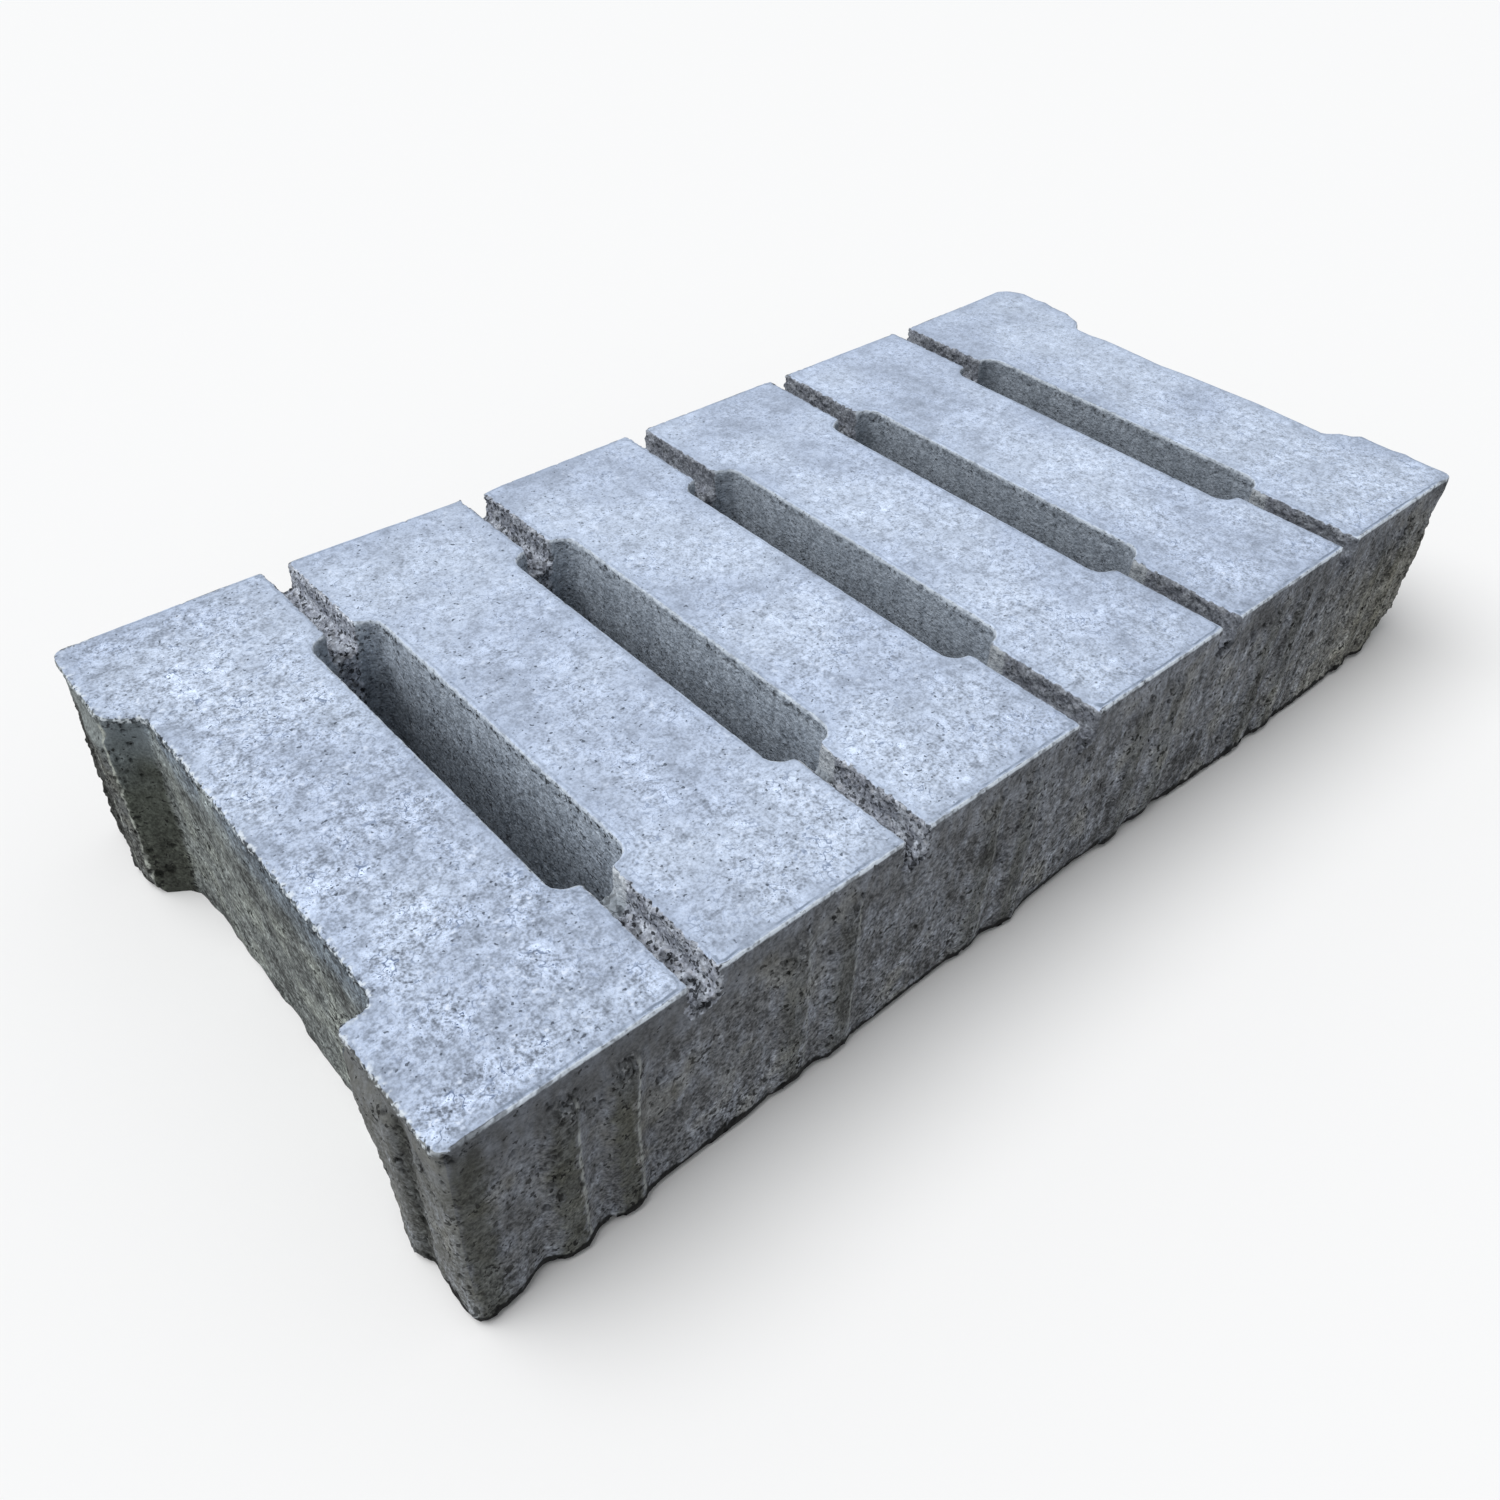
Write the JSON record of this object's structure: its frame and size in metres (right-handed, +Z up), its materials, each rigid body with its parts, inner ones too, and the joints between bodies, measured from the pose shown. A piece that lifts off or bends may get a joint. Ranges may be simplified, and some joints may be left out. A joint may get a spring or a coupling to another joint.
{
  "type": "concrete grass paver",
  "caption": "Pressed concrete paving block with long slots right through it for grass and drainage, half slots in its ends, shallow open grooves and upright spacer ribs.",
  "frame": {"origin": "middle of the underside", "axes": "+X along the long side, +Y across the block, +Z up out of the walked-on face"},
  "size_m": [0.6026, 0.3032, 0.1],
  "materials": {
    "concrete": "rough, dry, light grey"
  },
  "bodies": {
    "root": {"paver": "concrete"}
  },
  "joints": []
}
